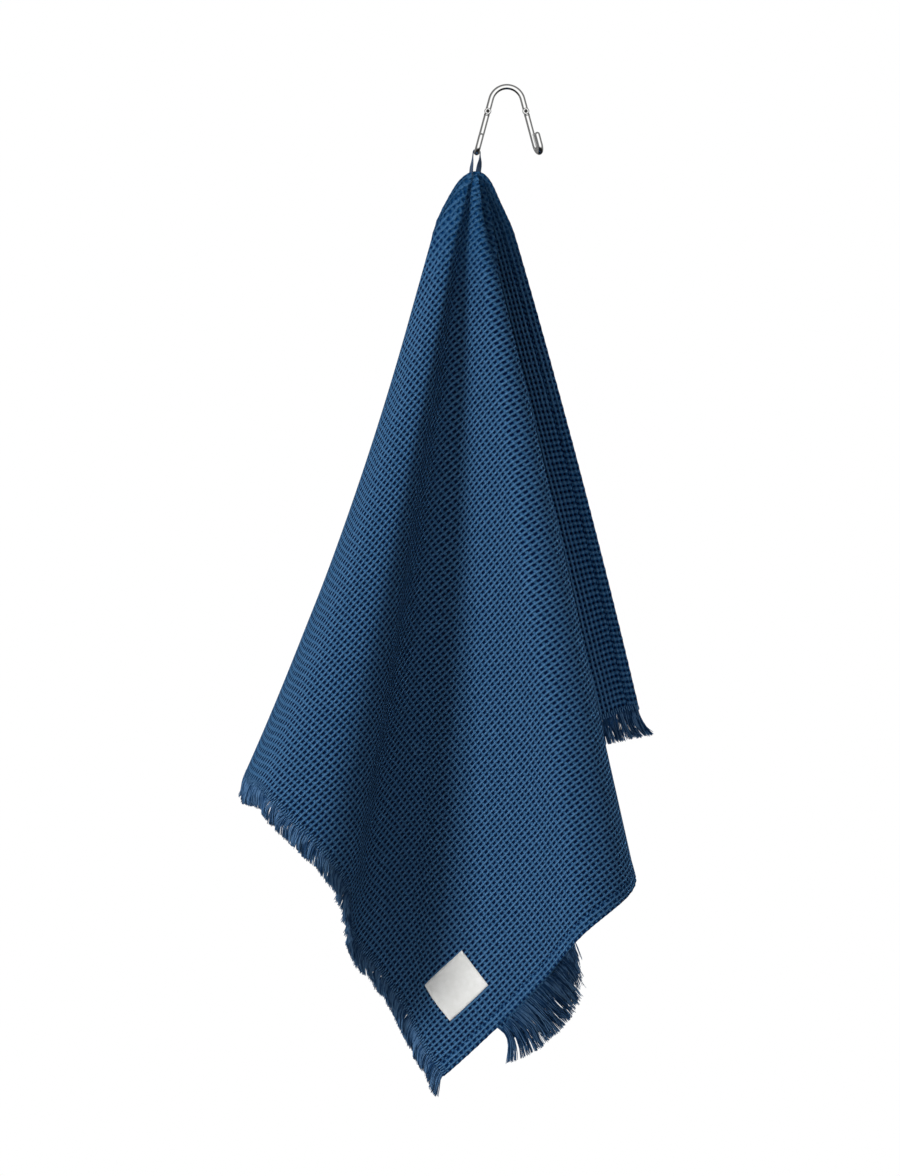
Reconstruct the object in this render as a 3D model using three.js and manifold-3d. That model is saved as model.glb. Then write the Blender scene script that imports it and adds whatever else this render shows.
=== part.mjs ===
// A waffle-weave cotton hand towel with fringed ends, hanging by its tape loop from a chrome double hook.
// Millimetres, X to the right, Y away from the viewer, Z up.
// The origin is the inside of the hook's arch, where it rests on a rail.
import * as THREE from 'three';
import { mergeVertices } from 'three/addons/utils/BufferGeometryUtils.js';
import Module from 'manifold-3d';

const wasm = await Module();
wasm.setup();

// The towel as cut: the loop is sewn to the middle of one long side, so half of the length lies each way.
const HALF_LENGTH = 450;
const TOWEL_WIDTH = 495;
const CLOTH_THICKNESS = 1.5;
const HEM_WIDTH = 10;
const HEM_EXTRA = 0.5;
const PIECE_GAP = 0.35;

// The chrome hook: an arch over the rail, two splayed legs, and an upturned end on each.
const WIRE_RADIUS = 2.1;
const ARCH_RADIUS = 12;
const LEG_SPLAY = 15;
const LEG_LENGTH = 36;
const SEAT_RADIUS = 5.5;
const UPTURN_LENGTH = 7.4;
const RIGHT_SEAT_TURN = 19;
const TIP_RADIUS = 2.07;
const SEAT_STEPS = 8;
const ARCH_STEPS = 12;
const WIRE_SIDES = 12;
const RIVET_RADIUS = 2.2;
const RIVET_REACH = 2.9;
const RIVET_DOWN_LEG = 9.5;

// The tape loop stands on the hem and runs over the wire of the left seat.
const TAPE_WIDTH = 4;
const TAPE_THICKNESS = 2.1;
const LOOP_FOOT_SPREAD = 5.6;
const LOOP_LIFT = 0.7;
const LOOP_BEND_STEPS = 12;
const LOOP_DROP = 14;

// The woven label, in sheet coordinates: along the towel from the loop, and down from the looped side.
const LABEL = { alongFrom: 379, alongTo: 420, downFrom: 433.5, downTo: 467.5 };
const LABEL_STEPS = { along: 6, down: 5 };
const LABEL_THICKNESS = 0.7;
const LABEL_GAP = 0.55;

// The fringe: a narrow strip just off the woven edge, and the locks that stand out of it.
const STRIP_WIDTH = 2;
const STRIP_THICKNESS = 1.3;
const LOCKS = 88;
const LOCK_SHARE = 0.6;
const LOCK_LENGTH = 15;
const LOCK_UNEVEN = { length: 1.6, aside: 0.7, lift: 1.2 };
const LOCK_SECTIONS = [
  { reach: 0.55, width: 0.8 },
  { reach: 1, width: 0.42 },
];
const LOCK_DROOP = 0.3;
const TUFT = { from: 26, extraLength: 4, extraDroop: 0.5 };

const radians = THREE.MathUtils.degToRad;
const lerp = THREE.MathUtils.lerp;

// The cloth falls from the loop as rays, one for each bearing of the flat sheet, 0 to 180 degrees.
// Each row is a place on the closed folds, in degrees off plumb: across to the right, and forward.
// gather is how far below the loop, in mm, the flat fan has drawn in to the folds.
// flare is how many degrees the ray swings out from its middle to its lower end.
const FOLDS = [
  { across: -2.7, forward: -6.3, gather: 24, flare: 0 }, // corner of the left end, hidden behind
  { across: -11.2, forward: -4.2, gather: 22, flare: -1.2 },
  { across: -17.1, forward: -2.4, gather: 20, flare: -3.2 },
  { across: -19.2, forward: 0.9, gather: 17, flare: -5 },
  { across: -19.2, forward: 4.1, gather: 14, flare: -5.4 }, // left outline
  { across: -17.5, forward: 7.8, gather: 12, flare: -5.2 },
  { across: -13.4, forward: 9.2, gather: 10, flare: -3.4 }, // bright left face
  { across: -10.6, forward: 7.8, gather: 9, flare: -1.8 },
  { across: -9, forward: 4.7, gather: 8, flare: -0.6 },
  { across: -7.3, forward: 1.4, gather: 7, flare: 0 },
  { across: -4.6, forward: -0.3, gather: 7, flare: 0 }, // trough of the front
  { across: -1.9, forward: 0.4, gather: 7, flare: -0.6 },
  { across: 1.8, forward: 2.6, gather: 7, flare: 0.5 },
  { across: 5.3, forward: 5, gather: 7, flare: 0.8 },
  { across: 8.7, forward: 7.6, gather: 7, flare: 0.5 }, // ridge of the front
  { across: 11.7, forward: 6.8, gather: 7, flare: -0.6 },
  { across: 13.1, forward: 4.2, gather: 7, flare: -1.2 }, // right outline of the front
  { across: 12.6, forward: 1, gather: 9, flare: 0 },
  { across: 7.1, forward: -2.6, gather: 11, flare: 0 },
  { across: 1, forward: -6.4, gather: 12, flare: 0 }, // panel that runs back to the left
  { across: -6, forward: -10.2, gather: 12, flare: 0 },
  { across: -12, forward: -12.2, gather: 12, flare: -0.6 },
  { across: -16.6, forward: -15.6, gather: 12, flare: -1.2 }, // rear left fold
  { across: -15.2, forward: -20.2, gather: 12, flare: -1.2 },
  { across: -12.2, forward: -24.2, gather: 12, flare: -0.8 },
  { across: -9.2, forward: -20, gather: 12, flare: -0.4 },
  { across: -6.4, forward: -16, gather: 12, flare: 0 },
  { across: -2.2, forward: -15, gather: 12, flare: 0 }, // back panel
  { across: 1.4, forward: -14.8, gather: 12, flare: 0 },
  { across: 4.5, forward: -14.8, gather: 12, flare: 0 },
  { across: 5.6, forward: -17.6, gather: 12, flare: 0 },
  { across: 1.8, forward: -19.2, gather: 12, flare: 0 },
  { across: -4.8, forward: -21.2, gather: 12, flare: 0 },
  { across: -8.2, forward: -24.7, gather: 12, flare: 0 }, // rear pleat
  { across: -3.5, forward: -27.4, gather: 13, flare: 0 },
  { across: 4.5, forward: -26.2, gather: 13, flare: 0.3 },
  { across: 10.3, forward: -23.4, gather: 12, flare: -0.9 },
  { across: 14.9, forward: -20.9, gather: 12, flare: -1.9 }, // corner of the right end
];
const DEPTH_GATHER_SHARE = 0.5;
const FLARE_MIDDLE = 250;
const RAY_STEP = 2;
const RAY_REACH = 710;

// Places on the hook, worked out from its sizes. A leg runs down and outwards from the arch.
const archCentre = new THREE.Vector3(0, 0, WIRE_RADIUS - ARCH_RADIUS);
const legDirection = (side) =>
  new THREE.Vector3(side * Math.sin(radians(LEG_SPLAY)), 0, -Math.cos(radians(LEG_SPLAY)));
const legTop = (side) =>
  new THREE.Vector3(side * Math.cos(radians(LEG_SPLAY)), 0, Math.sin(radians(LEG_SPLAY)))
    .multiplyScalar(ARCH_RADIUS)
    .add(archCentre);
const legEnd = (side) => legTop(side).addScaledVector(legDirection(side), LEG_LENGTH);
// The way a seat opens from its leg: toward the viewer, and on the right also turned outwards.
const seatForward = (side) => {
  const outwards = new THREE.Vector3(0, -1, 0).cross(legDirection(side)).multiplyScalar(side);
  const turn = side > 0 ? radians(RIGHT_SEAT_TURN) : 0;
  return new THREE.Vector3(0, -1, 0).multiplyScalar(Math.cos(turn)).addScaledVector(outwards, Math.sin(turn));
};
const seatCentre = (side) => legEnd(side).addScaledVector(seatForward(side), SEAT_RADIUS);
const seatBottom = (side) => seatCentre(side).addScaledVector(legDirection(side), SEAT_RADIUS);

// The wire of the left seat carries the loop, and the loop carries the towel.
const loopCrown = seatBottom(-1);
const towelTop = loopCrown.clone().add(new THREE.Vector3(0, 0, -LOOP_DROP));

const foldPath = new THREE.CatmullRomCurve3(
  FOLDS.map((fold) => new THREE.Vector3(fold.across, fold.forward, 0)),
  false,
  'centripetal',
);
foldPath.arcLengthDivisions = 24 * (FOLDS.length - 1);

// The fold that a bearing of the flat sheet falls in. Lengths along the folds match the sheet's own.
function foldAt(bearing) {
  const along = foldPath.getUtoTmapping(THREE.MathUtils.clamp(bearing / 180, 0, 1));
  const place = foldPath.getPoint(along);
  const row = Math.min(Math.floor(along * (FOLDS.length - 1)), FOLDS.length - 2);
  const share = along * (FOLDS.length - 1) - row;
  return {
    across: place.x,
    forward: place.y,
    gather: lerp(FOLDS[row].gather, FOLDS[row + 1].gather, share),
    flare: lerp(FOLDS[row].flare, FOLDS[row + 1].flare, share),
  };
}

// The points of one ray, a step apart, from the flat fan at the loop down into the folds.
const rays = new Map();
function rayAt(bearing) {
  if (rays.has(bearing)) return rays.get(bearing);
  const fold = foldAt(bearing);
  const heading = (distance) => {
    const fan = Math.exp(-distance / fold.gather);
    const depth = 1 - Math.exp(-distance / (DEPTH_GATHER_SHARE * fold.gather));
    const settled = fold.across + fold.flare * (distance / FLARE_MIDDLE - 1);
    const across = radians(lerp(settled, bearing - 90, fan));
    const forward = radians(fold.forward * depth);
    return new THREE.Vector3(
      Math.sin(across) * Math.cos(forward),
      -Math.sin(forward),
      -Math.cos(across) * Math.cos(forward),
    );
  };
  const points = [towelTop.clone()];
  for (let distance = RAY_STEP; distance <= RAY_REACH; distance += RAY_STEP) {
    const mean = heading(distance - RAY_STEP).add(heading(distance)).multiplyScalar(RAY_STEP / 2);
    points.push(points[points.length - 1].clone().add(mean));
  }
  rays.set(bearing, points);
  return points;
}

// A point of the hung sheet by its polar place on the flat sheet.
function hungPolar(bearing, distance) {
  const ray = rayAt(bearing);
  const step = Math.min(Math.floor(distance / RAY_STEP), ray.length - 2);
  return ray[step].clone().lerp(ray[step + 1], distance / RAY_STEP - step);
}

// The same by sheet coordinates: along is toward the left end, down is away from the looped side.
function hung(along, down) {
  return hungPolar(THREE.MathUtils.radToDeg(Math.atan2(down, along)), Math.hypot(along, down));
}

// The way the sheet's right side faces at a point.
function facing(along, down) {
  if (Math.hypot(along, down) < 1) return new THREE.Vector3(0, -1, 0);
  const below = Math.max(down - 1, 0);
  const alongSheet = hung(along + 1, down).sub(hung(along - 1, down));
  const downSheet = hung(along, below + 2).sub(hung(along, below));
  return alongSheet.cross(downSheet).normalize();
}

// A closed surface gathered from flat faces. Each face is given by its corners, counterclockwise from outside.
class Shell {
  constructor() {
    this.corners = [];
  }
  face(...points) {
    for (let i = 2; i < points.length; i += 1) this.corners.push(points[0], points[i - 1], points[i]);
  }
  // Points that coincide are shared, and faces that shrink to a line are dropped.
  geometry() {
    const places = new Map();
    const positions = [];
    const shared = this.corners.map((point) => {
      const key = point.toArray().map((value) => Math.round(value * 1000)).join();
      if (!places.has(key)) {
        places.set(key, positions.length / 3);
        positions.push(point.x, point.y, point.z);
      }
      return places.get(key);
    });
    const index = [];
    for (let i = 0; i < shared.length; i += 3) {
      const [a, b, c] = shared.slice(i, i + 3);
      if (a !== b && b !== c && c !== a) index.push(a, b, c);
    }
    const geometry = new THREE.BufferGeometry();
    geometry.setAttribute('position', new THREE.Float32BufferAttribute(positions, 3));
    geometry.setIndex(index);
    return geometry;
  }
}

// A sheet of rows and columns of cells, each with a point on its right side and one on its wrong side.
function sheetShell(cells) {
  const shell = new Shell();
  const rows = cells.length - 1;
  const columns = cells[0].length - 1;
  for (let i = 0; i < rows; i += 1) {
    for (let j = 0; j < columns; j += 1) {
      const [a, b, c, d] = [cells[i][j], cells[i][j + 1], cells[i + 1][j + 1], cells[i + 1][j]];
      shell.face(a.right, b.right, c.right, d.right);
      shell.face(d.wrong, c.wrong, b.wrong, a.wrong);
    }
  }
  for (let i = 0; i < rows; i += 1) {
    const [first, firstNext] = [cells[i][0], cells[i + 1][0]];
    const [last, lastNext] = [cells[i][columns], cells[i + 1][columns]];
    shell.face(first.right, firstNext.right, firstNext.wrong, first.wrong);
    shell.face(lastNext.right, last.right, last.wrong, lastNext.wrong);
  }
  for (let j = 0; j < columns; j += 1) {
    const [first, firstNext] = [cells[0][j], cells[0][j + 1]];
    const [last, lastNext] = [cells[rows][j], cells[rows][j + 1]];
    shell.face(firstNext.right, first.right, first.wrong, firstNext.wrong);
    shell.face(last.right, lastNext.right, lastNext.wrong, last.wrong);
  }
  return shell;
}

// The cloth in one piece: rays at even bearings through both lower corners, with rings closer near the loop.
const CORNER_BEARING = THREE.MathUtils.radToDeg(Math.atan2(TOWEL_WIDTH, HALF_LENGTH));
const SPANS = [
  { from: 0, to: CORNER_BEARING, steps: 32 },
  { from: CORNER_BEARING, to: 180 - CORNER_BEARING, steps: 56 },
  { from: 180 - CORNER_BEARING, to: 180, steps: 32 },
];
const HEM_RING = 1 - HEM_WIDTH / TOWEL_WIDTH;
const RINGS = [0, 0.012, 0.028, 0.05, 0.08, 0.12, 0.175, 0.26, 0.38, 0.53, 0.7, 0.86, HEM_RING, 1];

function edgeDistance(bearing) {
  const toEnd = HALF_LENGTH / Math.max(Math.abs(Math.cos(radians(bearing))), 1e-6);
  const toSide = TOWEL_WIDTH / Math.max(Math.sin(radians(bearing)), 1e-6);
  return Math.min(toEnd, toSide);
}

function towelCloth() {
  const bearings = [0];
  for (const span of SPANS) {
    for (let i = 1; i <= span.steps; i += 1) bearings.push(lerp(span.from, span.to, i / span.steps));
  }
  const cells = bearings.map((bearing) =>
    RINGS.map((ring) => {
      const distance = ring * edgeDistance(bearing);
      const along = distance * Math.cos(radians(bearing));
      const down = distance * Math.sin(radians(bearing));
      const inHem = down < HEM_WIDTH || down > TOWEL_WIDTH - HEM_WIDTH + 0.01;
      const half = (CLOTH_THICKNESS + (inHem ? HEM_EXTRA : 0)) / 2;
      const middle = hungPolar(bearing, distance);
      const normal = facing(along, down);
      return {
        right: middle.clone().addScaledVector(normal, half),
        wrong: middle.clone().addScaledVector(normal, -half),
      };
    }),
  );
  return sheetShell(cells).geometry();
}

// A steady unevenness for a lock, between -1 and 1.
const uneven = (k, seed) => Math.sin(k * 12.9898 + seed * 4.17) * Math.cos(k * 4.233 + seed);

// One fringed end: side is 1 for the left end and -1 for the right end of the sheet.
function fringe(side) {
  const shell = new Shell();
  const pitch = TOWEL_WIDTH / LOCKS;
  const inner = HALF_LENGTH + PIECE_GAP;
  const outer = inner + STRIP_WIDTH;
  const section = (down) => {
    const normal = facing(side * inner, down).multiplyScalar(STRIP_THICKNESS / 2);
    const root = hung(side * inner, down);
    const rim = hung(side * outer, down);
    return {
      down,
      rootRight: root.clone().add(normal),
      rootWrong: root.clone().sub(normal),
      rimRight: rim.clone().add(normal),
      rimWrong: rim.clone().sub(normal),
    };
  };
  // The right end mirrors the left one on the flat sheet, so its faces are listed the other way round.
  const faceTurned = (...points) => shell.face(...(side > 0 ? points : points.reverse()));
  const join = (a, b) => {
    faceTurned(a.rootRight, a.rimRight, b.rimRight, b.rootRight);
    faceTurned(b.rootWrong, b.rimWrong, a.rimWrong, a.rootWrong);
    faceTurned(b.rootRight, b.rootWrong, a.rootWrong, a.rootRight);
  };
  const closeRim = (a, b) => faceTurned(a.rimRight, a.rimWrong, b.rimWrong, b.rimRight);
  const lock = (a, b, k) => {
    const mid = (a.down + b.down) / 2;
    const towardCorner = Math.max(0, 1 - (TOWEL_WIDTH - mid) / TUFT.from);
    const length = LOCK_LENGTH + LOCK_UNEVEN.length * uneven(k, 1) + TUFT.extraLength * towardCorner;
    const outwards = hung(side * (outer + 4), mid).sub(hung(side * outer, mid)).normalize();
    const acrossLocks = hung(side * outer, mid + 1).sub(hung(side * outer, mid)).normalize();
    const normal = facing(side * outer, mid);
    const droop = LOCK_DROOP + TUFT.extraDroop * towardCorner;
    const rootRing = [a.rimRight, a.rimWrong, b.rimWrong, b.rimRight];
    const middle = new THREE.Vector3();
    rootRing.forEach((point) => middle.addScaledVector(point, 0.25));
    let ring = rootRing;
    for (const { reach, width } of LOCK_SECTIONS) {
      const centre = middle
        .clone()
        .addScaledVector(outwards, length * reach * (1 - 0.5 * droop * reach))
        .addScaledVector(new THREE.Vector3(0, 0, -1), length * 0.5 * droop * reach * reach)
        .addScaledVector(acrossLocks, reach * LOCK_UNEVEN.aside * uneven(k, 2))
        .addScaledVector(normal, reach * LOCK_UNEVEN.lift * uneven(k, 3));
      const next = rootRing.map((point) => point.clone().sub(middle).multiplyScalar(width).add(centre));
      ring.forEach((point, i) => {
        const j = (i + 1) % ring.length;
        faceTurned(point, ring[j], next[j], next[i]);
      });
      ring = next;
    }
    faceTurned(...ring);
  };
  const first = section(0);
  let last = first;
  for (let k = 0; k < LOCKS; k += 1) {
    const a = section((k + (1 - LOCK_SHARE) / 2) * pitch);
    const b = section((k + (1 + LOCK_SHARE) / 2) * pitch);
    join(last, a);
    closeRim(last, a);
    join(a, b);
    lock(a, b, k);
    last = b;
  }
  const end = section(TOWEL_WIDTH);
  join(last, end);
  closeRim(last, end);
  faceTurned(first.rootRight, first.rootWrong, first.rimWrong, first.rimRight);
  faceTurned(end.rimRight, end.rimWrong, end.rootWrong, end.rootRight);
  return shell.geometry();
}

// The woven label lies on the right side of the cloth.
function label() {
  const cells = [];
  for (let i = 0; i <= LABEL_STEPS.along; i += 1) {
    const row = [];
    for (let j = 0; j <= LABEL_STEPS.down; j += 1) {
      const along = lerp(LABEL.alongTo, LABEL.alongFrom, i / LABEL_STEPS.along);
      const down = lerp(LABEL.downFrom, LABEL.downTo, j / LABEL_STEPS.down);
      const lift = CLOTH_THICKNESS / 2 + LABEL_GAP;
      const normal = facing(along, down);
      row.push({
        right: hung(along, down).addScaledVector(normal, lift + LABEL_THICKNESS),
        wrong: hung(along, down).addScaledVector(normal, lift),
      });
    }
    cells.push(row);
  }
  return sheetShell(cells).geometry();
}

// A flat strap that follows a route in a plane square to Y, given by its points from foot to foot.
function strap(route, width, thickness) {
  const cells = route.map((point, i) => {
    const before = route[Math.max(i - 1, 0)];
    const after = route[Math.min(i + 1, route.length - 1)];
    const heading = after.clone().sub(before).normalize();
    const outwards = new THREE.Vector3(0, -1, 0).cross(heading).normalize();
    return [1, -1].map((edge) => {
      const rim = point.clone().add(new THREE.Vector3(0, (edge * width) / 2, 0));
      return {
        right: rim.clone().addScaledVector(outwards, thickness / 2),
        wrong: rim.clone().addScaledVector(outwards, -thickness / 2),
      };
    });
  });
  return sheetShell(cells).geometry();
}

// The loop: up from the hem, over the wire in a half round, and back down to the hem.
function hangingLoop() {
  const bend = WIRE_RADIUS + PIECE_GAP + TAPE_THICKNESS / 2;
  const foot = (side) => {
    const place = hung((-side * LOOP_FOOT_SPREAD) / 2, 0);
    return place.setZ(towelTop.z + PIECE_GAP);
  };
  // The seat curves up on both sides of the tape, so the tape's flat underside rides a little above the wire.
  const centre = loopCrown.clone().add(new THREE.Vector3(0, 0, LOOP_LIFT));
  const route = [foot(-1)];
  for (let i = 0; i <= LOOP_BEND_STEPS; i += 1) {
    const turn = Math.PI * (1 - i / LOOP_BEND_STEPS);
    route.push(centre.clone().add(new THREE.Vector3(bend * Math.cos(turn), 0, bend * Math.sin(turn))));
  }
  route.push(foot(1));
  return strap(route, TAPE_WIDTH, TAPE_THICKNESS);
}

// Solids for joining: a closed geometry becomes one, and one becomes a geometry again.
function toSolid(geometry) {
  const bare = geometry.clone();
  bare.deleteAttribute('normal');
  bare.deleteAttribute('uv');
  const merged = mergeVertices(bare, 1e-4);
  return new wasm.Manifold(
    new wasm.Mesh({
      numProp: 3,
      vertProperties: merged.attributes.position.array,
      triVerts: new Uint32Array(merged.index.array),
    }),
  );
}

function toGeometry(solid) {
  const mesh = solid.getMesh();
  const geometry = new THREE.BufferGeometry();
  geometry.setAttribute('position', new THREE.BufferAttribute(mesh.vertProperties, 3));
  geometry.setIndex(new THREE.BufferAttribute(mesh.triVerts, 1));
  return geometry;
}

// One end of the hook's wire, from its tip around the seat and up to the middle of its leg.
function hookEnd(side) {
  const [centre, forward, down] = [seatCentre(side), seatForward(side), legDirection(side)];
  const tip = centre.clone().addScaledVector(forward, SEAT_RADIUS).addScaledVector(down, -UPTURN_LENGTH);
  const points = [tip];
  for (let i = 0; i <= SEAT_STEPS; i += 1) {
    const turn = (Math.PI * i) / SEAT_STEPS;
    const point = centre.clone().addScaledVector(forward, SEAT_RADIUS * Math.cos(turn));
    points.push(point.addScaledVector(down, SEAT_RADIUS * Math.sin(turn)));
  }
  points.push(legEnd(side).lerp(legTop(side), 0.5));
  return points;
}

// The arch of the hook's wire, from the left leg to the right leg.
function hookArch() {
  const points = [];
  for (let i = 0; i <= ARCH_STEPS; i += 1) {
    const turn = radians(lerp(180 - LEG_SPLAY, LEG_SPLAY, i / ARCH_STEPS));
    const arm = new THREE.Vector3(Math.cos(turn), 0, Math.sin(turn)).multiplyScalar(ARCH_RADIUS);
    points.push(archCentre.clone().add(arm));
  }
  return points;
}

// A round bar swept along given points, closed by flat ends, with its rings turned square to the route.
function roundBar(points, radius, sides) {
  const shell = new Shell();
  let up = new THREE.Vector3(0, -1, 0);
  const rings = points.map((point, i) => {
    const before = points[Math.max(i - 1, 0)];
    const after = points[Math.min(i + 1, points.length - 1)];
    const heading = after.clone().sub(before).normalize();
    up = up.clone().addScaledVector(heading, -up.dot(heading)).normalize();
    const aside = heading.clone().cross(up);
    return Array.from({ length: sides }, (_, k) => {
      const turn = (2 * Math.PI * k) / sides;
      const spoke = up.clone().multiplyScalar(Math.cos(turn)).addScaledVector(aside, Math.sin(turn));
      return point.clone().addScaledVector(spoke, radius);
    });
  });
  for (let i = 0; i + 1 < rings.length; i += 1) {
    for (let k = 0; k < sides; k += 1) {
      const next = (k + 1) % sides;
      shell.face(rings[i][k], rings[i][next], rings[i + 1][next], rings[i + 1][k]);
    }
  }
  shell.face(...[...rings[0]].reverse());
  shell.face(...rings[rings.length - 1]);
  return shell.geometry();
}

// The hook in one piece: the bent wire, its two round tips, and a rivet across each leg.
function hook() {
  const points = [...hookEnd(-1), ...hookArch(), ...hookEnd(1).reverse()];
  let solid = toSolid(roundBar(points, WIRE_RADIUS, WIRE_SIDES));
  for (const tip of [points[0], points[points.length - 1]]) {
    const ball = new THREE.SphereGeometry(TIP_RADIUS, WIRE_SIDES, 8);
    ball.translate(tip.x, tip.y, tip.z);
    solid = solid.add(toSolid(ball));
  }
  for (const side of [-1, 1]) {
    const place = legTop(side).addScaledVector(legDirection(side), RIVET_DOWN_LEG);
    const rivet = new THREE.CylinderGeometry(RIVET_RADIUS, RIVET_RADIUS, 2 * RIVET_REACH, WIRE_SIDES + 2);
    rivet.translate(place.x, place.y, place.z);
    solid = solid.add(toSolid(rivet));
  }
  return toGeometry(solid);
}

const cotton = new THREE.MeshStandardMaterial({ color: 0x2f4d78, roughness: 0.95, metalness: 0 });
const threads = new THREE.MeshStandardMaterial({ color: 0x2b4669, roughness: 0.95, metalness: 0 });
const tape = new THREE.MeshStandardMaterial({ color: 0x2a4468, roughness: 0.9, metalness: 0 });
const ribbon = new THREE.MeshStandardMaterial({ color: 0xe4e4e0, roughness: 0.85, metalness: 0 });
const chrome = new THREE.MeshStandardMaterial({ color: 0xd9d9d6, roughness: 0.12, metalness: 1 });

const towel = new THREE.Group();
function addPiece(name, geometry, material) {
  const mesh = new THREE.Mesh(geometry, material);
  mesh.name = name;
  towel.add(mesh);
}
addPiece('towel_cloth', towelCloth(), cotton);
addPiece('fringe_left', fringe(1), threads);
addPiece('fringe_right', fringe(-1), threads);
addPiece('woven_label', label(), ribbon);
addPiece('hanging_loop', hangingLoop(), tape);
addPiece('double_hook', hook(), chrome);

export default towel;
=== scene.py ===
# A waffle-weave hand towel with fringed ends, hanging in folds from a chrome double hook.
# Lengths in the making of the pieces are millimetres, and become metres as each mesh is made.
import math

import bpy
import numpy as np
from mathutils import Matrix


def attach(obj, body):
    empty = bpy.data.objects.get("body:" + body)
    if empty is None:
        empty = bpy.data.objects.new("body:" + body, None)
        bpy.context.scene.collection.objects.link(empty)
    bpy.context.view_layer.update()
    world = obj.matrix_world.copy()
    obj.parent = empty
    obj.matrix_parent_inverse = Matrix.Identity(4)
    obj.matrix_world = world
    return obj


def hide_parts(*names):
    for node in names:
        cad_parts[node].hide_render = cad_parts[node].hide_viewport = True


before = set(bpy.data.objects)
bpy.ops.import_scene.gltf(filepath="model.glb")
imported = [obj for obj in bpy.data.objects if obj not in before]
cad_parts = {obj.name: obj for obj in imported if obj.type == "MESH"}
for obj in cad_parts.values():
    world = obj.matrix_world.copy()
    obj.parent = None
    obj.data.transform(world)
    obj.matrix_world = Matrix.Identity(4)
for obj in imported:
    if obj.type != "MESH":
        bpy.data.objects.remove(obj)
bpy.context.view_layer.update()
rng = np.random.default_rng(7)

# The towel as cut. The loop is sewn to the middle of one long side.
HALF_LENGTH = 450.0
TOWEL_WIDTH = 495.0
CLOTH_THICKNESS = 1.5
HEM_WIDTH = 9.0
HEM_EXTRA = 0.5
HEM_STITCH = 3.4
HEM_RIPPLE_HEIGHT = 0.22
HEM_RIPPLE_SPACING = 9.5
FRINGE_LENGTH = 15.0
FRINGE_THREADS = 3500
FRINGE_CLUMP = 3.4

# The waffle's cells on the flat cloth, along the towel and down from the looped side.
CELL_ALONG = 4.75
CELL_DOWN = 3.58
LOOSE_THREAD_SPACING = 1.9

# The hook, as in the solids.
WIRE_RADIUS = 2.1
ARCH_RADIUS = 12.0
LEG_SPLAY = 15.0
LEG_LENGTH = 36.0
SEAT_RADIUS = 5.5
UPTURN_LENGTH = 7.4
RIGHT_SEAT_TURN = 19.0
RIVET_DOWN_LEG = 9.5
LOOP_DROP = 14.0

# The folds, as in the solids: each row is a direction of the hanging cloth, in degrees off plumb,
# with the mm below the loop in which the fan draws in, and the degrees that a ray flares outwards.
FOLDS = np.array(
    [
        # across, forward, gather, flare
        (-2.7, -6.3, 24, 0),
        (-11.2, -4.2, 22, -1.2),
        (-17.1, -2.4, 20, -3.2),
        (-19.2, 0.9, 17, -5),
        (-19.2, 4.1, 14, -5.4),
        (-17.5, 7.8, 12, -5.2),
        (-13.4, 9.2, 10, -3.4),
        (-10.6, 7.8, 9, -1.8),
        (-9, 4.7, 8, -0.6),
        (-7.3, 1.4, 7, 0),
        (-4.6, -0.3, 7, 0),
        (-1.9, 0.4, 7, -0.6),
        (1.8, 2.6, 7, 0.5),
        (5.3, 5, 7, 0.8),
        (8.7, 7.6, 7, 0.5),
        (11.7, 6.8, 7, -0.6),
        (13.1, 4.2, 7, -1.2),
        (12.6, 1, 9, 0),
        (7.1, -2.6, 11, 0),
        (1, -6.4, 12, 0),
        (-6, -10.2, 12, 0),
        (-12, -12.2, 12, -0.6),
        (-16.6, -15.6, 12, -1.2),
        (-15.2, -20.2, 12, -1.2),
        (-12.2, -24.2, 12, -0.8),
        (-9.2, -20, 12, -0.4),
        (-6.4, -16, 12, 0),
        (-2.2, -15, 12, 0),
        (1.4, -14.8, 12, 0),
        (4.5, -14.8, 12, 0),
        (5.6, -17.6, 12, 0),
        (1.8, -19.2, 12, 0),
        (-4.8, -21.2, 12, 0),
        (-8.2, -24.7, 12, 0),
        (-3.5, -27.4, 13, 0),
        (4.5, -26.2, 13, 0.3),
        (10.3, -23.4, 12, -0.9),
        (14.9, -20.9, 12, -1.9),
    ],
    float,
)
DEPTH_GATHER_SHARE = 0.5
FLARE_MIDDLE = 250.0


def unit(v):
    """v at length 1, along its last axis."""
    return v / np.maximum(np.linalg.norm(v, axis=-1, keepdims=True), 1e-12)


def smooth_step(low, high, x):
    t = np.clip((x - low) / (high - low), 0, 1)
    return t * t * (3 - 2 * t)


# The hook's places


def leg_direction(side):
    splay = math.radians(LEG_SPLAY)
    return np.array([side * math.sin(splay), 0, -math.cos(splay)])


def leg_top(side):
    splay = math.radians(LEG_SPLAY)
    centre = np.array([0, 0, WIRE_RADIUS - ARCH_RADIUS])
    return centre + ARCH_RADIUS * np.array([side * math.cos(splay), 0, math.sin(splay)])


def leg_point(side, distance):
    return leg_top(side) + distance * leg_direction(side)


def seat_forward(side):
    outwards = side * np.cross([0, -1, 0], leg_direction(side))
    turn = math.radians(RIGHT_SEAT_TURN) if side > 0 else 0.0
    return math.cos(turn) * np.array([0, -1, 0]) + math.sin(turn) * outwards


def seat_centre(side):
    return leg_point(side, LEG_LENGTH) + SEAT_RADIUS * seat_forward(side)


LOOP_CROWN = seat_centre(-1) + SEAT_RADIUS * leg_direction(-1)
TOWEL_TOP = LOOP_CROWN - [0, 0, LOOP_DROP]


# The hung cloth


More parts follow.
